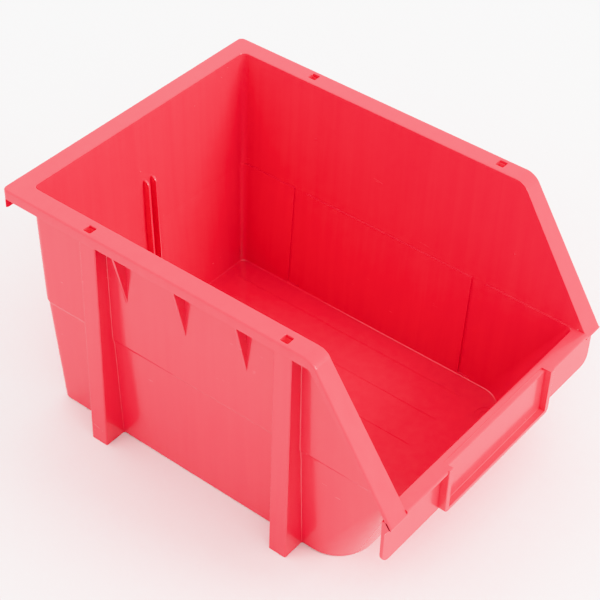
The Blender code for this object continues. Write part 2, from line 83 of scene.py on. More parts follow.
Point = tuple[float, float, float]
Pair = tuple[float, float]
Piece = bpy.types.Object
Mesh = bmesh.types.BMesh
Edge = bmesh.types.BMEdge
Socket = bpy.types.NodeSocket
Tree = bpy.types.NodeTree


class Axis(Enum):
    """Direction a flat outline is pushed along, with the unit vectors of its own plane."""

    X = (Vector((1, 0, 0)), Vector((0, 1, 0)), Vector((0, 0, 1)))
    Y = (Vector((0, 1, 0)), Vector((1, 0, 0)), Vector((0, 0, 1)))
    Z = (Vector((0, 0, 1)), Vector((1, 0, 0)), Vector((0, 1, 0)))

    @property
    def push(self) -> Vector:
        """Unit vector of the extrusion."""
        return self.value[0]

    def place(self, u: float, v: float, along: float) -> Vector:
        """Return the point (u, v) of the outline's plane at `along` on the axis."""
        return self.value[1] * u + self.value[2] * v + self.value[0] * along


class Side(Enum):
    """Left and right of the bin, seen from its open front."""

    LEFT = -1
    RIGHT = 1

    @classmethod
    def of(cls, place: Vector) -> "Side":
        """Return the side that a point is on."""
        return cls.RIGHT if place.x > 0 else cls.LEFT


class Operation(Enum):
    """How a tool body works on a target body."""

    JOIN = "UNION"
    CUT = "DIFFERENCE"
    KEEP = "INTERSECT"


@dataclass(frozen=True)
class Corner:
    """One corner of a flat outline, rounded when its radius is not zero."""

    u: float
    v: float
    radius: float = 0.0
    steps: int = 6


@dataclass(frozen=True)
class MouldSizes:
    """Sizes of the moulding in metres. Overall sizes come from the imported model."""

    half_width: float
    rear: float
    front: float
    height: float
    wall: float = 2.2 * MM
    floor: float = 2.4 * MM
    rim_plate: float = 2.0 * MM
    rim_side: float = 12.0 * MM
    rim_back: float = 12.0 * MM
    skirt: float = 2.0 * MM
    skirt_depth: float = 6.6 * MM
    skirt_slope_depth: float = 4.6 * MM
    skirt_tip_depth: float = 1.8 * MM
    lip_depth: float = 13.2 * MM
    corner_radius: float = 3.5 * MM
    label_proud: float = 0.7 * MM
    mouth_run: float = 54.0 * MM
    mouth_tip_drop: float = 2.7 * MM
    bend_radius: float = 10.0 * MM
    ledge_height: float = 75.7 * MM
    ledge_reach: float = 9.5 * MM
    step: float = 1.0 * MM
    back_step: float = 0.02 * MM
    side_lean_upper: float = 1.8 * MM
    side_lean_lower: float = 3.9 * MM
    back_lean_upper: float = 2.2 * MM
    back_lean_lower: float = 4.4 * MM
    front_lean: float = 30.2 * MM
    front_corner_foot: float = 23.0 * MM
    front_corner_top: float = 5.0 * MM
    rear_corner: float = 6.0 * MM
    beyond: float = 0.2

    @property
    def flange_face(self) -> float:
        """Y of the front edge of the ledge."""
        return self.front + self.label_proud

    @property
    def bend(self) -> float:
        """Y where the flat rim and the sloping mouth would meet in a sharp corner."""
        return self.flange_face + self.mouth_run

    @property
    def mouth_tip(self) -> float:
        """Height of the lowest point of the mouth's rim."""
        return self.ledge_height - self.mouth_tip_drop

    @property
    def mouth_angle(self) -> float:
        """Angle of the mouth below level."""
        return math.atan2(self.height - self.mouth_tip, self.mouth_run)

    @property
    def under_rim(self) -> float:
        """Height of the underside of the flat rim."""
        return self.height - self.rim_plate

    @property
    def skirt_inside(self) -> float:
        """Distance of the skirt's inner face from the middle of the bin."""
        return self.half_width - self.skirt

    def side_inner(self, height: float) -> float:
        """Inside of a side wall on the upper wall's line."""
        span = self.height - self.ledge_height
        return self.half_width - self.rim_side - self.side_lean_upper * (self.height - height) / span

    def side_inner_lower(self, height: float) -> float:
        """Inside of a side wall below the step."""
        drop = self.side_lean_lower * (self.ledge_height - height) / self.ledge_height
        return self.side_inner(self.ledge_height) - self.step - drop

    def back_inner(self, height: float) -> float:
        """Inside of the back wall on the upper wall's line."""
        span = self.height - self.ledge_height
        return self.rear - self.rim_back - self.back_lean_upper * (self.height - height) / span

    def back_inner_lower(self, height: float) -> float:
        """Inside of the back wall below the step."""
        drop = self.back_lean_lower * (self.ledge_height - height) / self.ledge_height
        return self.back_inner(self.ledge_height) - self.back_step - drop

    def front_inner(self, height: float) -> float:
        """Inside of the leaning front wall."""
        lean = self.front_lean * (self.ledge_height - height) / self.ledge_height
        return self.flange_face + self.ledge_reach + lean

    def front_outer(self, height: float) -> float:
        """Outside of the leaning front wall."""
        level = self.wall * math.hypot(self.front_lean, self.ledge_height) / self.ledge_height
        return self.front_inner(height) - level

    def front_corner(self, height: float) -> float:
        """Outside radius of a front corner."""
        grown = self.front_corner_foot - self.front_corner_top
        return self.front_corner_top + grown * (self.ledge_height - height) / self.ledge_height

    def mouth_corner(self, depth: float, radius: float, steps: int = 12) -> Corner:
        """Return the rounded corner where the flat rim turns into the slope, `depth` below its top."""
        y = self.bend + depth * math.tan(self.mouth_angle / 2)
        return Corner(y, self.height - depth, radius, steps)

    def slope_at(self, y: float, depth: float) -> float:
        """Height of the slope's line at a given y, `depth` below the mouth's surface."""
        angle = self.mouth_angle
        return self.height - (self.bend - y) * math.tan(angle) - depth / math.cos(angle)

    def slope_y(self, height: float, depth: float) -> float:
        """Y of the slope's line at a given height, `depth` below the mouth's surface."""
        angle = self.mouth_angle
        return self.bend - (self.height - height - depth / math.cos(angle)) / math.tan(angle)


# ------------------------------------------------------------------ modelling


def corner_reach(before: Vector, at: Vector, after: Vector, radius: float) -> float:
    """Distance from a corner to where its arc starts.

    Args:
        before: The point before the corner.
        at: The corner.
        after: The point after it.
        radius: Radius of the arc.

    Returns:
        The length taken from each edge.
    """
    angle = (before - at).angle(after - at)
    return radius / math.tan(angle / 2)


def verts_in(items: Iterable[object]) -> list[bmesh.types.BMVert]:
    """Pick the vertices out of what an operator returns."""
    return [item for item in items if isinstance(item, bmesh.types.BMVert)]


def flat_outline(build: Mesh, corners: Sequence[Corner], axis: Axis, along: float) -> bmesh.types.BMFace:
    """Add one flat face whose corners are rounded.

    Args:
        build: Mesh being built.
        corners: Corners in order.
        axis: Axis square to the face.
        along: Place of the face on that axis.

    Returns:
        The finished face.
    """
    already = set(build.faces)
    points = [axis.place(c.u, c.v, along) for c in corners]
    verts = [build.verts.new(p) for p in points]
    build.faces.new(verts)
    for k, corner in enumerate(corners):
        if corner.radius == 0:
            continue
        before, after = points[k - 1], points[(k + 1) % len(points)]
        bmesh.ops.bevel(
            build, geom=[verts[k]], offset=corner_reach(before, points[k], after, corner.radius),
            offset_type="ABSOLUTE", segments=corner.steps, profile=0.5, affect="VERTICES",
            material=-1, clamp_overlap=False,
        )
    return next(face for face in build.faces if face not in already)


def finish_mesh(build: Mesh, name: str) -> Piece:
    """Turn a bmesh into an object with outward faces.

    Args:
        build: Mesh being built; it is freed.
        name: Name of the object.

    Returns:
        The new object at the origin.
    """
    bmesh.ops.remove_doubles(build, verts=build.verts, dist=WELD)
    bmesh.ops.recalc_face_normals(build, faces=build.faces)
    mesh = bpy.data.meshes.new(name)
    build.to_mesh(mesh)
    build.free()
    piece = bpy.data.objects.new(name, mesh)
    bpy.context.scene.collection.objects.link(piece)
    return piece


def edit(piece: Piece) -> Mesh:
    """Open an object's mesh for editing.

    Args:
        piece: Object to edit.

    Returns:
        A copy of its mesh.
    """
    build = bmesh.new()
    build.from_mesh(piece.data)
    return build


def close_edit(build: Mesh, piece: Piece) -> None:
    """Write an edited bmesh back to its object, without loose edges.

    Args:
        build: Edited mesh; it is freed.
        piece: Object that it came from.
    """
    bmesh.ops.remove_doubles(build, verts=build.verts, dist=WELD)
    bmesh.ops.delete(build, geom=[edge for edge in build.edges if edge.is_wire], context="EDGES")
    bmesh.ops.recalc_face_normals(build, faces=build.faces)
    build.to_mesh(piece.data)
    build.free()


def prism(name: str, corners: Sequence[Corner], axis: Axis, low: float, high: float) -> Piece:
    """Push a flat outline along an axis.

    Args:
        name: Name of the object.
        corners: Outline, (y, z) for X, (x, z) for Y and (x, y) for Z.
        axis: Direction of the push.
        low: Start on the axis.
        high: End on the axis.

    Returns:
        A closed body.
    """
    build = bmesh.new()
    face = flat_outline(build, corners, axis, low)
    pushed = bmesh.ops.extrude_face_region(build, geom=[face])["geom"]
    bmesh.ops.translate(build, verts=verts_in(pushed), vec=axis.push * (high - low))
    return finish_mesh(build, name)


def ring_points(section: Sequence[Corner], height: float) -> list[Vector]:
    """Points of a rounded level outline, from where its first corner's arc starts.

    Args:
        section: Corners in (x, y).
        height: Height of the outline.

    Returns:
        The points in order round the outline.
    """
    build = bmesh.new()
    face = flat_outline(build, section, Axis.Z, height)
    points = [corner.vert.co.copy() for corner in face.loops]
    build.free()
    first, before, after = (Axis.Z.place(c.u, c.v, height) for c in (section[0], section[-1], section[1]))
    start_at = first + (before - first).normalized() * corner_reach(before, first, after, section[0].radius)
    start = min(range(len(points)), key=lambda k: (points[k] - start_at).length)
    return points[start:] + points[:start]


def loft(name: str, sections: Sequence[Sequence[Corner]], heights: Sequence[float]) -> Piece:
    """Push a level outline up through others of equal point count into one closed body.

    Args:
        name: Name of the object.
        sections: Outlines in (x, y), from the lowest up.
        heights: Height of each outline.

    Returns:
        A closed body.
    """
    build = bmesh.new()
    ring = ring_points(sections[0], heights[0])
    base = build.faces.new([build.verts.new(point) for point in ring])
    edges = list(base.edges)
    for section, height in zip(sections[1:], heights[1:]):
        made = bmesh.ops.extrude_edge_only(build, edges=edges)["geom"]
        places = {tuple(point): k for k, point in enumerate(ring)}
        following = ring_points(section, height)
        verts = verts_in(made)
        raised = set(verts)
        edges = [item for item in made if isinstance(item, Edge) and set(item.verts) <= raised]
        for vert in verts:
            vert.co = following[places[tuple(vert.co)]]
        ring = following
    bmesh.ops.edgeloop_fill(build, edges=edges)
    return finish_mesh(build, name)


def combine(target: Piece, tools: Sequence[Piece], operation: Operation) -> Piece:
    """Join, cut or intersect a body with others, which are used up.

    Args:
        target: Body that is changed.
        tools: Bodies that work on it.
        operation: What they do.

    Returns:
        The target.
    """
    for tool in tools:
        step = target.modifiers.new(operation.name.lower(), "BOOLEAN")
        step.operation = operation.value
        step.solver = "EXACT"
        step.object = tool
    graph = bpy.context.evaluated_depsgraph_get()
    made = bpy.data.meshes.new_from_object(target.evaluated_get(graph))
    target.modifiers.clear()
    target.data = made
    for tool in tools:
        bpy.data.objects.remove(tool, do_unlink=True)
    build = edit(target)
    bmesh.ops.dissolve_degenerate(build, edges=build.edges, dist=SLIVER)
    close_edit(build, target)
    return target


def attach(target: Piece, parts: Iterable[Piece]) -> Piece:
    """Add small closed bodies to a mesh as they stand; they are used up.

    Args:
        target: Body that takes them.
        parts: Bodies sunk into its surface.

    Returns:
        The target.
    """
    build = edit(target)
    for part in parts:
        build.from_mesh(part.data)
        bpy.data.objects.remove(part, do_unlink=True)
    build.to_mesh(target.data)
    build.free()
    return target


def round_edges(
    piece: Piece, chosen: Callable[[Edge, Vector], bool], radius: float, steps: int = 3,
    sharper_than: float = 40.0,
) -> Piece:
    """Round the edges that a test picks.

    Args:
        piece: Body to change.
        chosen: Test on an edge and its middle.
        radius: Radius of the rounding.
        steps: Facets across it.
        sharper_than: Smallest angle between the two faces, in degrees.

    Returns:
        The piece.
    """
    build = edit(piece)
    limit = math.radians(sharper_than)
    edges = []
    for edge in build.edges:
        if not edge.is_manifold or edge.calc_face_angle(0.0) < limit:
            continue
        middle = (edge.verts[0].co + edge.verts[1].co) / 2
        if chosen(edge, middle):
            edges.append(edge)
    bmesh.ops.bevel(
        build, geom=edges, offset=radius, offset_type="OFFSET", segments=steps, profile=0.5, affect="EDGES",
        material=-1, clamp_overlap=False, loop_slide=True,
    )
    close_edit(build, piece)
    return piece


def mirrored(corners: Sequence[Corner], side: Side) -> list[Corner]:
    """Mirror an outline's first coordinate for the left side."""
    return [Corner(side.value * c.u, c.v, c.radius, c.steps) for c in corners]


def spans(edge: Edge, axis: int) -> float:
    """Length of an edge along one coordinate, 0 for x, 1 for y and 2 for z."""
    return abs(edge.verts[0].co[axis] - edge.verts[1].co[axis])


def box(name: str, low: Sequence[float], high: Sequence[float]) -> Piece:
    """A plain block between two corners, used as a cutting body.

    Args:
        name: Name of the object.
        low: Lowest corner.
        high: Highest corner.

    Returns:
        A closed block.
    """
    build = bmesh.new()
    bmesh.ops.create_cube(build, size=1.0)
    bmesh.ops.scale(build, verts=build.verts, vec=Vector(high) - Vector(low))
    bmesh.ops.translate(build, verts=build.verts, vec=(Vector(low) + Vector(high)) / 2)
    return finish_mesh(build, name)


def nodes_named(*starts: str) -> list[str]:
    """CAD nodes whose names start with one of the given words."""
    return sorted(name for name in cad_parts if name.startswith(starts))


# ------------------------------------------------------------------ finishes


class Effect:
    """Node group with one value output and an amount that scales it, built step by step."""

    def __init__(self, name: str, output: str) -> None:
        """Start a group with its named sockets.

        Args:
            name: Name of the group.
            output: Name of its output.
        """
        self.tree = bpy.data.node_groups.new(name, "ShaderNodeTree")
        self.tree.interface.new_socket(name="Amount", in_out="INPUT", socket_type="NodeSocketFloat")
        self.tree.interface.new_socket(name=output, in_out="OUTPUT", socket_type="NodeSocketFloat")
        self.amount = self.tree.nodes.new("NodeGroupInput").outputs["Amount"]
        self.place = self.tree.nodes.new("ShaderNodeTexCoord").outputs["Object"]

    def stretched(self, stretch: Point) -> Socket:
        """Scale Object coordinates per axis.

        Args:
            stretch: Factor along each axis.

        Returns:
            The scaled coordinates.
        """
        mapping = self.tree.nodes.new("ShaderNodeMapping")
        mapping.inputs["Scale"].default_value = stretch
        self.tree.links.new(self.place, mapping.inputs["Vector"])
        return mapping.outputs["Vector"]

    def noise(self, stretch: Point, detail: float, warp: float = 0.0) -> Socket:
        """Soft noise.

        Args:
            stretch: Cells per metre along each axis.
            detail: Octaves.
            warp: Distortion.

        Returns:
            Its value.
        """
        node = self.tree.nodes.new("ShaderNodeTexNoise")
        node.inputs["Scale"].default_value = 1.0
        node.inputs["Detail"].default_value = detail
        node.inputs["Distortion"].default_value = warp
        self.tree.links.new(self.stretched(stretch), node.inputs["Vector"])
        return node.outputs["Fac"]

    def remap(self, value: Socket, source: Pair, target: Pair) -> Socket:
        """Map one range onto another, clamped.

        Args:
            value: Value to map.
            source: Its range.
            target: The new range.

        Returns:
            The mapped value.
        """
        node = self.tree.nodes.new("ShaderNodeMapRange")
        node.inputs["From Min"].default_value = source[0]
        node.inputs["From Max"].default_value = source[1]
        node.inputs["To Min"].default_value = target[0]
        node.inputs["To Max"].default_value = target[1]
        self.tree.links.new(value, node.inputs["Value"])
        return node.outputs["Result"]

    def math(self, operation: str, first: Socket, second: Socket) -> Socket:
        """Combine two values.

        Args:
            operation: Name of the sum.
            first: First value.
            second: Second value.

        Returns:
            The result.
        """
        node = self.tree.nodes.new("ShaderNodeMath")
        node.operation = operation
        self.tree.links.new(first, node.inputs[0])
        self.tree.links.new(second, node.inputs[1])
        return node.outputs["Value"]

    def finish(self, value: Socket) -> Tree:
        """Scale a value by the amount and lead it to the output.

        Args:
            value: The effect's value.

        Returns:
            The finished group.
        """
        out = self.tree.nodes.new("NodeGroupOutput")
        self.tree.links.new(self.math("MULTIPLY", value, self.amount), out.inputs[0])
        return self.tree


@dataclass(frozen=True)
class FlowMarks:
    """Faint upright streaks left by the melt, over slow cloudy variation."""

    streak_cells: Point = (170.0, 170.0, 9.0)
    streak_detail: float = 3.0
    streak_warp: float = 0.3
    streak_band: Pair = (0.32, 0.72)
    streak_share: float = 0.6
    cloud_cells: Point = (14.0, 14.0, 14.0)
    cloud_detail: float = 2.0
    cloud_band: Pair = (0.3, 0.7)
    cloud_share: float = 0.4

    def group(self) -> Tree:
        """Build the node group."""
        effect = Effect("flow_marks", "Streaks")
        streaks = effect.noise(self.streak_cells, self.streak_detail, self.streak_warp)
        clouds = effect.noise(self.cloud_cells, self.cloud_detail)
        streaks = effect.remap(streaks, self.streak_band, (0.0, self.streak_share))
        clouds = effect.remap(clouds, self.cloud_band, (0.0, self.cloud_share))
        return effect.finish(effect.math("ADD", streaks, clouds))


@dataclass(frozen=True)
class FineGrain:
    """Spark-eroded grain of the mould with a slow waviness under it."""

    grain_cells: Point = (2600.0, 2600.0, 2600.0)
    grain_detail: float = 2.0
    grain_band: Pair = (0.3, 0.7)
    grain_share: float = 0.25
    wave_cells: Point = (45.0, 45.0, 30.0)
    wave_detail: float = 1.0
    wave_band: Pair = (0.25, 0.75)
    wave_share: float = 0.75

    def group(self) -> Tree:
        """Build the node group."""
        effect = Effect("fine_grain", "Height")
        grain = effect.noise(self.grain_cells, self.grain_detail)
        waves = effect.noise(self.wave_cells, self.wave_detail)
        grain = effect.remap(grain, self.grain_band, (0.0, self.grain_share))
        waves = effect.remap(waves, self.wave_band, (0.0, self.wave_share))
        return effect.finish(effect.math("ADD", grain, waves))


@dataclass(frozen=True)
class HandlingScuffs:
    """Sparse short scuffs from stacking and handling."""

    scuff_cells: Point = (260.0, 60.0, 420.0)
    scuff_detail: float = 2.0
    scuff_warp: float = 0.8
    scuff_band: Pair = (0.68, 0.76)
    patch_cells: Point = (22.0, 22.0, 22.0)
    patch_detail: float = 1.0
    patch_band: Pair = (0.58, 0.70)

    def group(self) -> Tree:
        """Build the node group."""
        effect = Effect("handling_scuffs", "Scuffs")
        scuffs = effect.noise(self.scuff_cells, self.scuff_detail, self.scuff_warp)
        patches = effect.noise(self.patch_cells, self.patch_detail)
        scuffs = effect.remap(scuffs, self.scuff_band, (0.0, 1.0))
        patches = effect.remap(patches, self.patch_band, (0.0, 1.0))
        return effect.finish(effect.math("MULTIPLY", scuffs, patches))


@dataclass(frozen=True)
class MouldedPlastic:
    """Semi-gloss injection-moulded polypropylene with flow marks, fine grain and light scuffs, plus a painted
    glow in the marked hollows.
    """

    name: str = "moulded_red_plastic"
    deep: Point = (0.68, 0.024, 0.050)
    pale: Point = (0.73, 0.034, 0.060)
    scuffed: Point = (0.82, 0.090, 0.120)
    smooth: float = 0.17
    dull: float = 0.25
    scuff_roughness: float = 0.18
    scuff_tint: float = 0.35
    flow_amount: float = 1.0
    grain_amount: float = 1.0
    specular: float = 0.70
    coat: float = 0.4
    coat_roughness: float = 0.10
    grain_height: float = 0.03 * MM
    # Colour of the painted glow in the posts' hollows: emission that stands in for light through the thin
    # plastic.
    painted_glow: Point = (0.34, 0.008, 0.020)

    def material(self) -> bpy.types.Material:
        """Build the material."""
        made = bpy.data.materials.new(self.name)
        made.use_nodes = True
        tree = made.node_tree
        shader = tree.nodes["Principled BSDF"]
        shader.inputs["Specular IOR Level"].default_value = self.specular
        shader.inputs["Coat Weight"].default_value = self.coat
        shader.inputs["Coat Roughness"].default_value = self.coat_roughness
        shader.inputs["Emission Strength"].default_value = 1.0
        streaks = self.placed(tree, FlowMarks().group(), self.flow_amount)
        scuffs = HandlingScuffs().group()
        links = {
            "Base Color": self.colour(tree, streaks, self.placed(tree, scuffs, self.scuff_tint)),
            "Roughness": self.roughness(tree, streaks, self.placed(tree, scuffs, self.scuff_roughness)),
            "Normal": self.relief(tree),
            # Painted glow: the marked hollows emit, in place of light coming through the thin walls.
            "Emission Color": self.paint_through_glow(tree),
        }
        for name, socket in links.items():
            tree.links.new(socket, shader.inputs[name])
        return made

    def placed(self, tree: Tree, effect: Tree, amount: float) -> Socket:
        """Place an effect in the material.

        Args:
            tree: The material's nodes.
            effect: The effect's group.
            amount: How strong it is here.

        Returns:
            Its value.
        """
        node = tree.nodes.new("ShaderNodeGroup")
        node.node_tree = effect
        node.inputs["Amount"].default_value = amount
        return node.outputs[0]

    def mixed(self, tree: Tree, factor: Socket, first: Socket | Point, second: Point) -> Socket:
        """Mix two colours.

        Args:
            tree: The material's nodes.
            factor: Share of the second colour.
            first: First colour, fixed or from a node.
            second: Second colour.

        Returns:
            The mixed colour.
        """
        node = tree.nodes.new("ShaderNodeMix")
        node.data_type = "RGBA"
        node.inputs["B"].default_value = (*second, 1)
        tree.links.new(factor, node.inputs["Factor"])
        if isinstance(first, tuple):
            node.inputs["A"].default_value = (*first, 1)
        else:
            tree.links.new(first, node.inputs["A"])
        return node.outputs["Result"]

    def colour(self, tree: Tree, streaks: Socket, scuffs: Socket) -> Socket:
        """Red that varies with the flow of the melt and pales at scuffs."""
        flowed = self.mixed(tree, streaks, self.deep, self.pale)
        return self.mixed(tree, scuffs, flowed, self.scuffed)

    def roughness(self, tree: Tree, streaks: Socket, scuffs: Socket) -> Socket:
        """Gloss that dulls a little along the streaks and more at scuffs.

        Args:
            tree: The material's nodes.
            streaks: Flow marks, from 0 to 1.
            scuffs: Roughness that scuffs add.

        Returns:
            The roughness.
        """
        gloss = tree.nodes.new("ShaderNodeMapRange")
        gloss.inputs["To Min"].default_value = self.smooth
        gloss.inputs["To Max"].default_value = self.dull
        tree.links.new(streaks, gloss.inputs["Value"])
        total = tree.nodes.new("ShaderNodeMath")
        total.operation = "ADD"
        tree.links.new(gloss.outputs["Result"], total.inputs[0])
        tree.links.new(scuffs, total.inputs[1])
        return total.outputs["Value"]

    def relief(self, tree: Tree) -> Socket:
        """Raise the fine grain.

        Args:
            tree: The material's nodes.

        Returns:
            The normal.
        """
        bump = tree.nodes.new("ShaderNodeBump")
        bump.inputs["Distance"].default_value = self.grain_height
        tree.links.new(self.placed(tree, FineGrain().group(), self.grain_amount), bump.inputs["Height"])
        return bump.outputs["Normal"]

    def paint_through_glow(self, tree: Tree) -> Socket:
        """Paint a glow where a face is marked for it; the emission stands in for light coming through the
        thin plastic.

        Args:
            tree: The material's nodes.

        Returns:
            The colour of the painted glow.
        """
        mark = tree.nodes.new("ShaderNodeAttribute")
        mark.attribute_name = PAINTED_GLOW_MASK
        return self.mixed(tree, mark.outputs["Fac"], (0.0, 0.0, 0.0), self.painted_glow)


# ------------------------------------------------------------------ the moulding


@dataclass
class Cavity:
    """The space inside the walls, as the body that the core of the mould fills."""

    sizes: MouldSizes
    floor_round: float = 0.9 * MM
    past_front: float = 0.145
    past_top: float = 0.175

    def body(self, name: str) -> Piece:
        """Build the cavity, running out past the top and the front.

        Args:
            name: Name of the body.

        Returns:
            A closed body.
        """
        s = self.sizes
        ledge, foot = s.ledge_height, s.floor
        corner = s.front_corner(ledge) - s.wall
        sections = [
            self.ring(s.side_inner_lower(foot), s.back_inner_lower(foot), s.front_inner(foot),
                      s.front_corner(foot) - s.wall),
            self.ring(s.side_inner_lower(ledge), s.back_inner_lower(ledge), s.front_inner(ledge), corner),
            self.ring(s.side_inner(ledge), s.back_inner(ledge), -self.past_front, corner),
            self.ring(s.side_inner(self.past_top), s.back_inner(self.past_top), -self.past_front, corner),
        ]
        body = loft(name, sections, [foot, ledge, ledge, self.past_top])
        round_edges(body, lambda edge, at: abs(at.z - foot) < NEAR, self.floor_round, 4)
        return body

    def ring(self, half: float, rear: float, front: float, front_radius: float) -> list[Corner]:
        """One level outline of the cavity."""
        return tub_ring(half, rear, front, front_radius, self.sizes.rear_corner - self.sizes.wall)


def tub_ring(half: float, rear: float, front: float, front_radius: float, rear_radius: float) -> list[Corner]:
    """One level outline with rounded corners.

    Args:
        half: Half of its width.
        rear: Y of its back.
        front: Y of its front.
        front_radius: Radius of the two front corners.
        rear_radius: Radius of the two rear corners.

    Returns:
        Its corners.
    """
    return [
        Corner(-half, front, front_radius, 12),
        Corner(half, front, front_radius, 12),
        Corner(half, rear, rear_radius, 6),
        Corner(-half, rear, rear_radius, 6),
    ]


@dataclass
class Tub:
    """Floor, four drafted walls and their rounded corners."""

    sizes: MouldSizes
    foot_round: float = 1.2 * MM
    ledge_round: float = 0.8 * MM
    step_fall: float = 1.6 * MM
    step_rise: float = 1.2 * MM
    turn_rise: float = 0.3 * MM
    hidden_corner: float = 0.8 * MM
    front_setback: float = 4.0 * MM
    square_corner: float = 0.5 * MM
    groove_half: float = 4.6 * MM
    groove_depth: float = 0.95 * MM
    groove_foot: float = 1.0 * MM
    groove_past: float = 0.3 * MM
    groove_reach: float = 4.0 * MM
    line_width: float = 0.45 * MM
    line_depth: float = 0.2 * MM
    line_above: float = 1.0 * MM
    line_front: float = -68 * MM
    line_rear: float = 108 * MM
    line_places: tuple[float, ...] = (13.5 * MM, 40.4 * MM, 66.0 * MM)
    ring_centre: Pair = (62 * MM, -88.7 * MM)
    ring_radii: tuple[float, ...] = (4.0 * MM, 7.0 * MM)
    ring_width: float = 0.5 * MM
    ring_rise: float = 0.2 * MM
    ring_body: float = 1.0 * MM
    pip_radius: float = 0.5 * MM
    side_pips: tuple[Pair, ...] = ((63.8 * MM, 118.3 * MM), (-79.4 * MM, 105.7 * MM))
    back_pips: tuple[Pair, ...] = ((-5.9 * MM, 119.1 * MM),)
    cutter_half: float = 0.15
    cutter_past_rear: float = 0.05

    def body(self) -> Piece:
        """Build the tub up to the underside of the rim."""
        tub = self.outside()
        round_edges(tub, lambda edge, at: abs(at.z) < NEAR, self.foot_round, 4)
        combine(tub, [Cavity(self.sizes).body("cavity"), self.mouth_cutter()], Operation.CUT)
        round_edges(tub, self.is_ledge_edge, self.ledge_round, 3, 50)
        combine(tub, [*self.post_grooves(), *self.floor_lines()], Operation.CUT)
        attach(tub, [*self.ejector_rings(), *self.pips()])
        return tub

    def outside(self) -> Piece:
        """Build the solid that the outside of the walls bounds, with its eased step.

        Returns:
            A closed body.
        """
        s = self.sizes
        ledge, wall = s.ledge_height, s.wall
        low, high, top = ledge - self.step_fall, ledge + self.step_rise, s.under_rim
        forward = s.slope_y(ledge, s.rim_plate) - self.front_setback
        turn = ledge + self.turn_rise
        share = (turn - low) / (high - low)
        half = s.side_inner_lower(low) + share * (s.side_inner(high) - s.side_inner_lower(low)) + wall
        rear = s.back_inner_lower(low) + share * (s.back_inner(high) - s.back_inner_lower(low)) + wall
        sections = [
            self.ring(s.side_inner_lower(0) + wall, s.back_inner_lower(0) + wall, s.front_outer(0),
                      s.front_corner(0)),
            self.ring(s.side_inner_lower(low) + wall, s.back_inner_lower(low) + wall, s.front_outer(low),
                      s.front_corner(low)),
            self.ring(half, rear, s.front_outer(turn), self.hidden_corner),
            self.ring(half, rear, forward, self.square_corner),
            self.ring(s.side_inner(high) + wall, s.back_inner(high) + wall, forward, self.square_corner),
            self.ring(s.side_inner(top) + wall, s.back_inner(top) + wall, forward, self.square_corner),
        ]
        return loft("tub_shell", sections, [0, low, turn, turn + self.turn_rise / 3, high, top])

    def post_grooves(self) -> list[Piece]:
        """Bodies of the shallow upright channels inside the lower side walls, behind the posts."""
        s = self.sizes
        grooves = []
        heights = [s.floor + self.groove_foot, s.ledge_height + self.groove_past]
        for node in nodes_named("post_"):
            low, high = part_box(node)
            near = (low.y + high.y) / 2 - self.groove_half
            far = near + 2 * self.groove_half
            sections = []
            for height in heights:
                wall = s.side_inner_lower(height) + self.groove_depth
                inside = wall - self.groove_reach
                corners = [Corner(inside, near), Corner(wall, near), Corner(wall, far), Corner(inside, far)]
                sections.append(mirrored(corners, Side.of(low)))
            grooves.append(loft(f"groove_{node}", sections, heights))
        return grooves

    def floor_lines(self) -> list[Piece]:
        """Bodies of the fine lines that run along the floor."""
        half = self.line_width / 2
        bottom, top = self.sizes.floor - self.line_depth, self.sizes.floor + self.line_above
        lines = []
        for x in self.line_places:
            for side in Side:
                centre = side.value * x
                low, high = (centre - half, self.line_front, bottom), (centre + half, self.line_rear, top)
                lines.append(box("floor_line", low, high))
        return lines

    def ejector_rings(self) -> list[Piece]:
        """Two low concentric rings left on the floor by an ejector pin."""
        top = self.sizes.floor + self.ring_rise
        rings = []
        for radius in self.ring_radii:
            build = bmesh.new()
            bmesh.ops.create_circle(build, segments=48, radius=radius)
            outer = verts_in(bmesh.ops.extrude_edge_only(build, edges=build.edges)["geom"])
            grown = (radius + self.ring_width) / radius
            bmesh.ops.scale(build, verts=outer, vec=(grown, grown, 1))
            raised = verts_in(bmesh.ops.extrude_face_region(build, geom=build.faces)["geom"])
            bmesh.ops.translate(build, verts=raised, vec=(0, 0, self.ring_body))
            bmesh.ops.translate(build, verts=build.verts, vec=(*self.ring_centre, top - self.ring_body))
            rings.append(finish_mesh(build, "ejector_ring"))
        return rings

    def pips(self) -> list[Piece]:
        """Tiny raised dots on the inside of the walls."""
        s = self.sizes
        places = [Vector((s.side_inner(z), y, z)) for y, z in self.side_pips]
        places += [Vector((x, s.back_inner(z), z)) for x, z in self.back_pips]
        dots = []
        for place in places:
            build = bmesh.new()
            bmesh.ops.create_uvsphere(build, u_segments=12, v_segments=8, radius=self.pip_radius)
            bmesh.ops.translate(build, verts=build.verts, vec=place)
            dots.append(finish_mesh(build, "pip"))
        return dots

    def ring(self, half: float, rear: float, front: float, front_radius: float) -> list[Corner]:
        """One level outline of the outside."""
        return tub_ring(half, rear, front, front_radius, self.sizes.rear_corner)

    def is_ledge_edge(self, edge: Edge, at: Vector) -> bool:
        """Test for the inner edge of the front wall's top.

        Args:
            edge: Edge to test.
            at: Its middle.

        Returns:
            True on that edge.
        """
        s = self.sizes
        ledge = s.ledge_height
        along = s.front_inner(ledge) - GAP < at.y < s.bend
        between_walls = abs(at.x) < s.side_inner_lower(ledge) - 2 * GAP
        return abs(at.z - ledge) < NEAR and along and between_walls and edge.is_convex

    def mouth_cutter(self) -> Piece:
        """Body in front of and above the underside of the mouth's rim."""
        s = self.sizes
        past_rear = s.rear + self.cutter_past_rear
        outline = [
            Corner(-s.beyond, s.ledge_height),
            Corner(s.slope_y(s.ledge_height, s.rim_plate), s.ledge_height),
            s.mouth_corner(s.rim_plate, s.bend_radius - s.rim_plate),
            Corner(past_rear, s.under_rim),
            Corner(past_rear, s.beyond),
            Corner(-s.beyond, s.beyond),
        ]
        return prism("mouth_cutter", outline, Axis.X, -self.cutter_half, self.cutter_half)


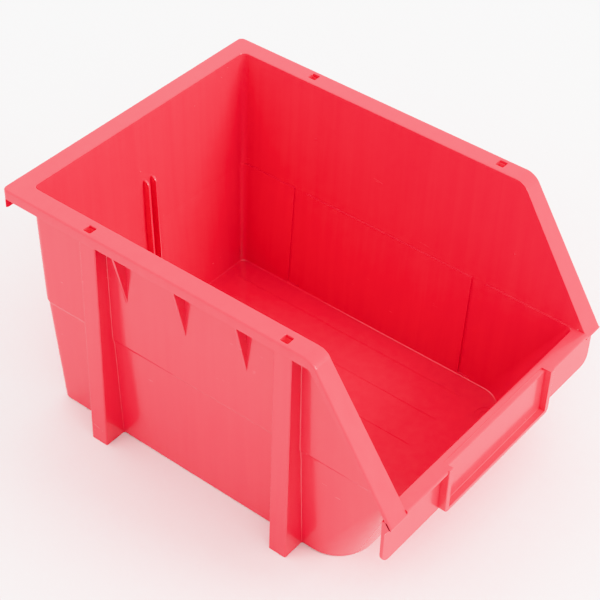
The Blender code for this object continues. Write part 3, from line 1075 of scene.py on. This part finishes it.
@dataclass
class Rim:
    """Flat flange round the top with its skirt, hanging lip and the slopes beside the mouth."""

    sizes: MouldSizes
    outer_round: float = 1.1 * MM
    inner_round: float = 0.6 * MM
    edge_round: float = 0.5 * MM
    tip_round: float = 0.8 * MM
    tip_foot_round: float = 1.0 * MM
    elbow_radius: float = 4.0 * MM
    hole_width: float = 5.2 * MM
    hole_length: float = 5.0 * MM
    hole_inset: float = 5.2 * MM
    hole_corner: float = 0.5 * MM
    hole_reach: float = 10 * MM
    lip_corner: float = 2.6 * MM
    lip_past: float = 1.0 * MM
    skim: float = 0.02 * MM
    outer_band: float = 4.0 * MM
    top_band: float = 0.3 * MM
    tip_length: float = 1.5 * MM
    ledge_gap: float = 0.3 * MM
    ledge_skim: float = 0.1 * MM
    cutter_front: float = -0.12
    inside_front: float = -0.16
    inside_foot: float = -0.1
    plan_top: float = 0.3

    def body(self) -> Piece:
        """Build the rim."""
        s = self.sizes
        rim = prism("rim_frame", self.outer_view(), Axis.X, -s.half_width, s.half_width)
        plan = prism("plan", self.plan(s.half_width, s.rear, s.corner_radius), Axis.Z, 0, s.beyond)
        combine(rim, [plan], Operation.KEEP)
        round_edges(rim, self.is_outer_top, self.outer_round, 4)
        combine(rim, [self.space_below(), Cavity(s).body("rim_core"), self.ledge_space()], Operation.CUT)
        combine(rim, [*self.hole_cutters(), *self.lip_end_cutters()], Operation.CUT)
        round_edges(rim, self.is_top_edge, self.inner_round, 3, 60)
        round_edges(rim, self.is_lower_edge, self.edge_round, 2, 60)
        return rim

    def space_below(self) -> Piece:
        """Body of the space under the rim, inside its skirt."""
        s = self.sizes
        inside = prism("under_rim", self.inner_view(), Axis.X, -s.half_width + s.skirt, s.skirt_inside)
        inner_plan = self.plan(s.skirt_inside, s.rear - s.skirt, s.corner_radius - s.skirt)
        inner = prism("inner_plan", inner_plan, Axis.Z, self.inside_foot, self.plan_top)
        return combine(inside, [inner], Operation.KEEP)

    def ledge_space(self) -> Piece:
        """Body that frees the rim's front ends from the ledge between them."""
        s = self.sizes
        half = s.side_inner(s.ledge_height) + self.ledge_gap
        top = s.ledge_height + self.ledge_skim
        return box("below_ledge", (-half, -s.beyond, 0), (half, self.cutter_front, top))

    def hole_cutters(self) -> list[Piece]:
        """Bodies of the square holes above the posts."""
        s = self.sizes
        half_x, half_y = self.hole_width / 2, self.hole_length / 2
        cutters = []
        for node in nodes_named("post_"):
            low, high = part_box(node)
            x, y = Side.of(low).value * (s.half_width - self.hole_inset), (low.y + high.y) / 2
            corners = [
                Corner(x - half_x, y - half_y, self.hole_corner, 3),
                Corner(x + half_x, y - half_y, self.hole_corner, 3),
                Corner(x + half_x, y + half_y, self.hole_corner, 3),
                Corner(x - half_x, y + half_y, self.hole_corner, 3),
            ]
            reach = (s.height - self.hole_reach, s.height + self.hole_reach)
            cutters.append(prism(f"hole_{node}", corners, Axis.Z, *reach))
        return cutters

    def outer_view(self) -> list[Corner]:
        """Outside of the rim from the side as (y, z)."""
        s = self.sizes
        tip = s.flange_face
        elbow_z, lip_z = s.height - s.skirt_depth, s.height - s.lip_depth
        return [
            Corner(s.rear, s.height),
            s.mouth_corner(0, s.bend_radius),
            Corner(tip, s.mouth_tip, self.tip_round, 4),
            Corner(tip, s.slope_at(tip, s.skirt_tip_depth), self.tip_foot_round, 4),
            Corner(s.slope_y(elbow_z, s.skirt_slope_depth), elbow_z, self.elbow_radius, 6),
            Corner(s.rear - s.skirt, elbow_z),
            Corner(s.rear - s.skirt, lip_z),
            Corner(s.rear, lip_z),
        ]

    def inner_view(self) -> list[Corner]:
        """Space under the rim from the side as (y, z)."""
        s = self.sizes
        return [
            Corner(s.rear - s.skirt, s.under_rim),
            s.mouth_corner(s.rim_plate, s.bend_radius - s.rim_plate),
            Corner(self.inside_front, s.slope_at(self.inside_front, s.rim_plate)),
            Corner(self.inside_front, self.inside_foot),
            Corner(s.rear - s.skirt, self.inside_foot),
        ]

    def plan(self, half: float, rear: float, radius: float) -> list[Corner]:
        """Plan outline with rounded rear corners.

        Args:
            half: Half of its width.
            rear: Y of its back.
            radius: Radius of the rear corners.

        Returns:
            Its corners in (x, y).
        """
        return [
            Corner(-half, -self.sizes.beyond),
            Corner(half, -self.sizes.beyond),
            Corner(half, rear, radius, 8),
            Corner(-half, rear, radius, 8),
        ]

    def surface_gap(self, at: Vector) -> float:
        """Distance of a point below the rim's top surface, measured down."""
        return min(self.sizes.height, self.sizes.slope_at(at.y, 0)) - at.z

    def is_outer_top(self, edge: Edge, at: Vector) -> bool:
        """Test for the outer edge of the rim's top surface.

        Args:
            edge: Edge to test.
            at: Its middle.

        Returns:
            True on that edge.
        """
        s = self.sizes
        normals = [face.normal for face in edge.link_faces]
        up = any(n.z > LEVEL for n in normals)
        out = any(abs(n.z) < UPRIGHT and (abs(n.x) > LEVEL or n.y > LEVEL) for n in normals)
        outer = abs(at.x) > s.half_width - self.outer_band or at.y > s.rear - self.outer_band
        return up and out and outer

    def is_top_edge(self, edge: Edge, at: Vector) -> bool:
        """Test for the inner edge of the rim's top surface and the edges of its holes.

        Args:
            edge: Edge to test.
            at: Its middle.

        Returns:
            True on those edges.
        """
        behind_tip = at.y >= self.sizes.flange_face + self.tip_length
        on_top = abs(self.surface_gap(at)) <= self.top_band and behind_tip
        if not edge.is_convex or not on_top:
            return False
        normals = [face.normal for face in edge.link_faces]
        return any(n.z > LEVEL for n in normals) and any(abs(n.z) < UPRIGHT for n in normals)

    def lip_end_cutters(self) -> list[Piece]:
        """Bodies that round the two lower corners of the hanging lip."""
        s = self.sizes
        foot, reach, past = s.height - s.lip_depth, self.lip_corner + GAP, self.lip_past
        outline = [
            Corner(s.half_width - reach, foot - self.skim),
            Corner(s.half_width + self.skim, foot - self.skim, self.lip_corner, 6),
            Corner(s.half_width + self.skim, foot + reach),
            Corner(s.half_width + past, foot + reach),
            Corner(s.half_width + past, foot - past),
            Corner(s.half_width - reach, foot - past),
        ]
        back = (s.rear - s.skirt - past, s.rear + past)
        return [prism("lip_end", mirrored(outline, side), Axis.Y, *back) for side in Side]

    def is_lower_edge(self, edge: Edge, at: Vector) -> bool:
        """Test for the free lower edges of the skirt and the hanging lip.

        Args:
            edge: Edge to test.
            at: Its middle.

        Returns:
            True on those edges.
        """
        s = self.sizes
        if not edge.is_convex or at.y < s.bend:
            return False
        normals = [face.normal for face in edge.link_faces]
        down = any(n.z < -LEVEL for n in normals)
        out = any(abs(n.z) < UPRIGHT for n in normals)
        on_skirt = abs(at.x) > s.skirt_inside - GAP or at.y > s.rear - s.skirt - GAP
        return down and out and on_skirt


@dataclass
class StackingPost:
    """Hollow box post between a side wall and the skirt, flared into the wall at its root."""

    sizes: MouldSizes
    node: str
    flare: float = 2.4 * MM
    front_flare: float = 0.5 * MM
    outer_round: float = 0.9 * MM
    foot_round: float = 0.4 * MM
    shell: float = 1.2 * MM
    turn: float = 1.4 * MM
    sink: float = 0.8 * MM
    end_margin: float = 1.0 * MM
    core_gap: float = 0.4 * MM
    core_corner: float = 0.3 * MM
    core_lift: float = 0.3 * MM
    core_below: float = 10 * MM
    core_above: float = 20 * MM
    tangent: float = 0.96

    def body(self) -> Piece:
        """Build the post where its CAD node stands.

        Returns:
            A closed body.
        """
        s = self.sizes
        low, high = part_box(self.node)
        side = Side.of(low)
        low_turn, high_turn = s.ledge_height - self.turn, s.ledge_height + self.turn
        insides = [s.side_inner_lower(0), s.side_inner_lower(low_turn), s.side_inner(high_turn),
                   s.side_inner(s.under_rim)]
        walls = [inside + s.wall for inside in insides]
        sections = [mirrored(self.section(wall, low.y, high.y), side) for wall in walls]
        post = loft(f"moulded_{self.node}", sections, [0.0, low_turn, high_turn, s.under_rim])
        round_edges(post, lambda edge, at: edge.is_convex and at.z < GAP, self.foot_round, 2, 60)
        cores = [mirrored(self.core(wall, low.y, high.y), side) for wall in walls]
        heights = [-self.core_below, low_turn + self.core_lift, high_turn + self.core_lift,
                   s.height + self.core_above]
        combine(post, [loft("core", cores, heights)], Operation.CUT)
        self.paint_hollow_glow(post, side, low.y, high.y)
        return post

    def paint_hollow_glow(self, post: Piece, side: Side, low: float, high: float) -> None:
        """Mark the faces of the hollow for a painted glow, which stands in for daylight reaching them through
        the thin walls.

        Args:
            post: Finished post.
            side: Side of the bin it stands on.
            low: Front of the post.
            high: Back of the post.
        """
        s = self.sizes
        face = s.skirt_inside - self.shell
        middle = Vector((side.value * (face + s.side_inner(s.height) + s.wall) / 2, (low + high) / 2, 0))
        # Marked faces get the painted glow: emission in place of light through the thin plastic.
        mask = post.data.attributes.new(PAINTED_GLOW_MASK, "FLOAT", "FACE")
        for polygon in post.data.polygons:
            place = polygon.center
            between = low + self.end_margin < place.y < high - self.end_margin
            within = side.value * place.x < face + GAP and between
            inward = (middle - place).xy.dot(polygon.normal.xy) > 0
            mask.data[polygon.index].value = 1.0 if within and inward else 0.0

    def section(self, wall: float, low: float, high: float) -> list[Corner]:
        """Plan of the post outside a wall.

        Args:
            wall: Outer face of the wall.
            low: Front of the post.
            high: Back of the post.

        Returns:
            Its corners in (x, y).
        """
        root, inside, face = wall - NEAR, wall - self.sink, self.sizes.skirt_inside
        return [
            Corner(inside, low - self.front_flare),
            Corner(root, low - self.front_flare),
            Corner(root, low, self.front_flare * self.tangent, 5),
            Corner(face, low, self.outer_round, 4),
            Corner(face, high, self.outer_round, 4),
            Corner(root, high, self.flare * self.tangent, 5),
            Corner(root, high + self.flare),
            Corner(inside, high + self.flare),
        ]

    def core(self, wall: float, low: float, high: float) -> list[Corner]:
        """Plan of the hollow.

        Args:
            wall: Outer face of the wall.
            low: Front of the post.
            high: Back of the post.

        Returns:
            Its corners in (x, y).
        """
        face = self.sizes.skirt_inside - self.shell
        return [
            Corner(wall + self.core_gap, low + self.shell),
            Corner(face, low + self.shell, self.core_corner, 3),
            Corner(face, high - self.shell, self.core_corner, 3),
            Corner(wall + self.core_gap, high - self.shell),
        ]


@dataclass
class Gusset:
    """Thin web under a side flange."""

    sizes: MouldSizes
    node: str
    edge_round: float = 0.5 * MM
    nose: float = 7.0 * MM
    nose_round: float = 2.5 * MM
    root: float = 2.0 * MM

    def body(self) -> Piece:
        """Build the web where its CAD node stands.

        Returns:
            A closed body.
        """
        s = self.sizes
        low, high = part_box(self.node)
        top, apex, face = s.under_rim, low.z, s.skirt_inside
        outline = [
            Corner(s.side_inner(top) + s.wall / 2, top),
            Corner(face, top),
            Corner(face, top - self.nose, self.nose_round, 5),
            Corner(s.side_inner(apex) + s.wall, apex),
            Corner(s.side_inner(apex) + s.wall / 2, apex - self.root),
        ]
        web = prism(f"moulded_{self.node}", mirrored(outline, Side.of(low)), Axis.Y, low.y, high.y)
        return round_edges(web, lambda edge, at: spans(edge, 1) < NEAR, self.edge_round, 2, 60)


@dataclass
class FrontApron:
    """Flat ledge, down-turned flange and label holder as the mould leaves them."""

    sizes: MouldSizes
    thickness: float = 2.1 * MM
    setback: float = 4.0 * MM
    shoulder: float = 8.5 * MM
    shoulder_round: float = 5.0 * MM
    plate_top: float = 66.0 * MM
    under_round: float = 0.8 * MM
    under_overlap: float = 0.9 * MM
    foot: float = 43.5 * MM
    foot_corner: float = 7.0 * MM
    edge_round: float = 0.9 * MM
    small_round: float = 0.5 * MM
    bar_edge_round: float = 0.35 * MM
    label_half: float = 50.5 * MM
    bar: float = 3.5 * MM
    pocket: float = 3.9 * MM
    lip: float = 2.6 * MM
    lip_fillet: float = 0.5 * MM
    bar_fillet: float = 0.9 * MM
    panel_top_round: float = 0.9 * MM
    shelf_round: float = 0.5 * MM
    step_edge: float = 2.2 * MM
    shelf_sink: float = 1.0 * MM
    shelf_reach: float = 2.6 * MM
    shelf_corner: float = 4.0 * MM
    holder_corner: float = 3.0 * MM
    upright_length: float = 1.0 * MM
    front_top: float = 0.12
    slope_sink: float = 1.0 * MM
    slope_gap: float = 0.2 * MM
    slope_past: float = 5.0 * MM
    slope_foot: float = 10.0 * MM
    recess_front: float = -0.15
    recess_top: float = 0.08

    def body(self) -> Piece:
        """Build the apron."""
        s = self.sizes
        apron = prism("front_apron", self.side_view(), Axis.X, -s.half_width, s.half_width)
        combine(apron, [prism("front", self.front_view(), Axis.Y, -s.beyond, 0.0)], Operation.KEEP)
        round_edges(apron, self.is_plate_edge, self.small_round, 2, 60)
        combine(apron, [self.slope_cutter(side) for side in Side], Operation.CUT)
        combine(apron, [self.holder_block()], Operation.JOIN)
        combine(apron, [self.recess()], Operation.CUT)
        return round_edges(apron, self.is_holder_edge, self.bar_edge_round, 2, 55)

    def side_view(self) -> list[Corner]:
        """Ledge and flange from the side as (y, z)."""
        s = self.sizes
        edge, plate = s.flange_face, s.flange_face + self.setback
        ledge, under = s.ledge_height, s.ledge_height - s.wall
        return [
            Corner(s.front_outer(ledge), ledge),
            Corner(edge, ledge, self.edge_round, 4),
            Corner(edge, ledge - self.step_edge),
            Corner(plate, ledge - self.shoulder, self.shoulder_round, 5),
            Corner(plate, self.foot),
            Corner(plate + self.thickness, self.foot),
            Corner(plate + self.thickness, under, self.under_round, 3),
            Corner(s.front_outer(under) + self.under_overlap, under),
        ]

    def slope_cutter(self, side: Side) -> Piece:
        """Build the body that trims one end of the apron under the mouth's rim.

        Args:
            side: Which end.

        Returns:
            A closed body.
        """
        s = self.sizes
        back = s.flange_face + self.setback + self.thickness
        far, sunk, foot = s.front - self.slope_past, self.slope_sink, self.foot + self.slope_foot
        outline = [
            Corner(far, s.slope_at(far, sunk)),
            Corner(back, s.slope_at(back, sunk)),
            Corner(back, foot),
            Corner(s.bend, foot),
            Corner(s.bend, s.height),
            Corner(far, s.height),
        ]
        inner = side.value * (s.side_inner(s.ledge_height) + self.slope_gap)
        outer = side.value * (s.half_width + self.slope_past)
        return prism("slope_cutter", outline, Axis.X, *sorted((inner, outer)))

    def front_view(self) -> list[Corner]:
        """Flange from the front as (x, z)."""
        half, foot = self.sizes.half_width, self.foot
        return [
            Corner(-half, foot, self.foot_corner, 8),
            Corner(half, foot, self.foot_corner, 8),
            Corner(half, self.front_top),
            Corner(-half, self.front_top),
        ]

    def holder_block(self) -> Piece:
        """Solid block that the label pocket is cut from."""
        s = self.sizes
        outline = [
            Corner(-self.label_half, self.foot, self.holder_corner, 6),
            Corner(self.label_half, self.foot, self.holder_corner, 6),
            Corner(self.label_half, s.ledge_height),
            Corner(-self.label_half, s.ledge_height),
        ]
        block = prism("holder", outline, Axis.Y, s.front, s.flange_face + self.setback + self.thickness / 2)
        return round_edges(block, lambda edge, at: at.y < s.front + NEAR, self.small_round, 3, 60)

    def recess(self) -> Piece:
        """Body of the label pocket and the sunk shelf above it."""
        s = self.sizes
        panel = s.front + self.pocket
        shelf = panel + self.shelf_reach
        lip = self.foot + self.lip
        sunk = s.ledge_height - self.shelf_sink
        outline = [
            Corner(self.recess_front, lip),
            Corner(s.front, lip),
            Corner(panel, lip, self.lip_fillet, 5),
            Corner(panel, sunk, self.panel_top_round, 4),
            Corner(shelf, sunk, self.shelf_round, 3),
            Corner(shelf, self.recess_top),
            Corner(self.recess_front, self.recess_top),
        ]
        half = self.label_half - self.bar
        body = prism("recess", outline, Axis.X, -half, half)
        round_edges(body, lambda edge, at: self.is_end_edge(edge, at, panel), self.bar_fillet, 4, 60)
        return round_edges(body, lambda edge, at: self.is_end_edge(edge, at, shelf), self.shelf_corner, 6, 60)

    def is_end_edge(self, edge: Edge, at: Vector, depth: float) -> bool:
        """Test for the upright edges at the two ends of the recess.

        Args:
            edge: Edge to test.
            at: Its middle.
            depth: Y of the edges that are wanted.

        Returns:
            True on those edges.
        """
        at_end = abs(abs(at.x) - (self.label_half - self.bar)) < NEAR
        return at_end and spans(edge, 2) > self.upright_length and abs(at.y - depth) < CLOSE

    def is_plate_edge(self, edge: Edge, at: Vector) -> bool:
        """Test for the free edges of the flange.

        Args:
            edge: Edge to test.
            at: Its middle.

        Returns:
            True on those edges.
        """
        normals = [face.normal for face in edge.link_faces]
        broad = any(abs(n.y) > BROAD for n in normals)
        narrow = any(abs(n.y) < UPRIGHT for n in normals)
        return edge.is_convex and broad and narrow and at.z < self.plate_top

    def is_holder_edge(self, edge: Edge, at: Vector) -> bool:
        """Test for the inner front edges of the bars.

        Args:
            edge: Edge to test.
            at: Its middle.

        Returns:
            True on those edges.
        """
        near_bar = abs(abs(at.x) - (self.label_half - self.bar)) < CLOSE
        return edge.is_convex and near_bar and at.y < self.sizes.front + CLOSE


@dataclass
class BackRib:
    """Small upright rib on the inside of the back wall."""

    sizes: MouldSizes
    node: str
    edge_round: float = 0.5 * MM
    reach: float = 4.0 * MM
    tangent: float = 0.96
    sink: float = 1.0 * MM
    foot_sink: float = 0.5 * MM

    def body(self) -> Piece:
        """Build the rib where its CAD node stands.

        Returns:
            A closed body.
        """
        s = self.sizes
        low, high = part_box(self.node)
        foot = s.floor - self.foot_sink
        outline = [
            Corner(s.back_inner_lower(s.floor) - self.reach, foot),
            Corner(s.back_inner(high.z) - self.reach, high.z, self.reach * self.tangent, 8),
            Corner(s.back_inner(high.z) + self.sink, high.z),
            Corner(s.back_inner(s.ledge_height) + self.sink, s.ledge_height + self.sink),
            Corner(s.back_inner_lower(s.floor) + self.sink, foot),
        ]
        rib = prism(f"moulded_{self.node}", outline, Axis.X, low.x, high.x)
        return round_edges(rib, lambda edge, at: spans(edge, 0) < NEAR, self.edge_round, 2, 60)


# ------------------------------------------------------------------ the studio


@dataclass
class Studio:
    """Floor, lights and camera."""

    eye: Point = (-0.5872, -0.43905, 0.7168)
    azimuth: float = -52.88
    elevation: float = 40.79
    roll: float = 2.12
    lens: float = 103.254
    sensor: float = 36.0
    view: str = "Khronos PBR Neutral"
    world_strength: float = 1.85
    floor_size: float = 6.0
    floor_shade: float = 0.74
    floor_roughness: float = 0.9
    key_power: float = 20.0
    key_size: float = 0.5
    key_place: Point = (0.35, -1.25, 0.85)
    key_aim: Point = (0.05, -0.12, 0.0)

    def build(self) -> None:
        """Build the floor, lights and camera."""
        self.floor()
        self.surroundings()
        self.key()
        self.camera()

    def floor(self) -> None:
        """A plain pale floor."""
        build = bmesh.new()
        bmesh.ops.create_grid(build, x_segments=1, y_segments=1, size=self.floor_size)
        floor = finish_mesh(build, "floor")
        made = bpy.data.materials.new("pale_floor")
        made.use_nodes = True
        shader = made.node_tree.nodes["Principled BSDF"]
        shader.inputs["Base Color"].default_value = (*(self.floor_shade,) * 3, 1)
        shader.inputs["Roughness"].default_value = self.floor_roughness
        floor.data.materials.append(made)

    def surroundings(self) -> None:
        """Bright even surroundings."""
        scene = bpy.context.scene
        world = bpy.data.worlds.new("studio")
        scene.world = world
        world.use_nodes = True
        ground = world.node_tree.nodes["Background"]
        ground.inputs["Color"].default_value = (1, 1, 1, 1)
        ground.inputs["Strength"].default_value = self.world_strength
        scene.view_settings.view_transform = self.view

    def key(self) -> None:
        """One soft light from the front."""
        lamp = bpy.data.lights.new("key", "AREA")
        lamp.energy = self.key_power
        lamp.size = self.key_size
        key = bpy.data.objects.new("key", lamp)
        bpy.context.scene.collection.objects.link(key)
        place = Vector(self.key_place)
        facing = (Vector(self.key_aim) - place).to_track_quat("-Z", "Y").to_matrix().to_4x4()
        key.matrix_world = Matrix.Translation(place) @ facing

    def camera(self) -> None:
        """Camera with its roll."""
        a, e, r = (math.radians(v) for v in (self.azimuth, self.elevation, self.roll))
        right = Vector((math.cos(a), math.sin(a), 0))
        back = Vector((math.sin(a) * math.cos(e), -math.cos(a) * math.cos(e), math.sin(e)))
        up = back.cross(right)
        x = right * math.cos(r) + up * math.sin(r)
        y = up * math.cos(r) - right * math.sin(r)
        data = bpy.data.cameras.new("camera")
        data.lens = self.lens
        data.sensor_width = self.sensor
        camera = bpy.data.objects.new("camera", data)
        bpy.context.scene.collection.objects.link(camera)
        turn = Matrix((x, y, back)).transposed().to_4x4()
        camera.matrix_world = Matrix.Translation(Vector(self.eye)) @ turn
        bpy.context.scene.camera = camera


def dress(piece: Piece, material: bpy.types.Material, replaced: Sequence[str]) -> None:
    """Give a piece its finish and its place in the model.

    Args:
        piece: Finished body.
        material: Its finish.
        replaced: CAD nodes it stands for.
    """
    piece.data.materials.clear()
    piece.data.materials.append(material)
    piece.data.shade_smooth()
    piece.data.set_sharp_from_angle(angle=math.radians(SOFT_ANGLE))
    weighted = piece.modifiers.new("level_normals", "WEIGHTED_NORMAL")
    weighted.keep_sharp = True
    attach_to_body(piece, BODY)
    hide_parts(*replaced)
    LOG.info("%s: %d faces, stands for %s", piece.name, len(piece.data.polygons), ", ".join(replaced))


def main() -> None:
    """Build the bin, its finishes and the studio."""
    low, high = (Vector(corner) for corner in CAD_BOX)
    sizes = MouldSizes(half_width=(high.x - low.x) / 2, rear=high.y, front=low.y, height=high.z)
    plastic = MouldedPlastic().material()
    tub_nodes = nodes_named("floor_panel", "back_wall", "side_wall", "front_wall", "corner_")
    dress(Tub(sizes).body(), plastic, tub_nodes)
    dress(Rim(sizes).body(), plastic, nodes_named("rim_", "skirt_", "hanging_lip"))
    dress(FrontApron(sizes).body(), plastic, nodes_named("front_ledge", "front_flange", "label_"))
    for start, kind in (("post_", StackingPost), ("gusset_", Gusset), ("back_rib_", BackRib)):
        for node in nodes_named(start):
            dress(kind(sizes, node).body(), plastic, [node])
    Studio().build()


if __name__ == "__main__":
    main()
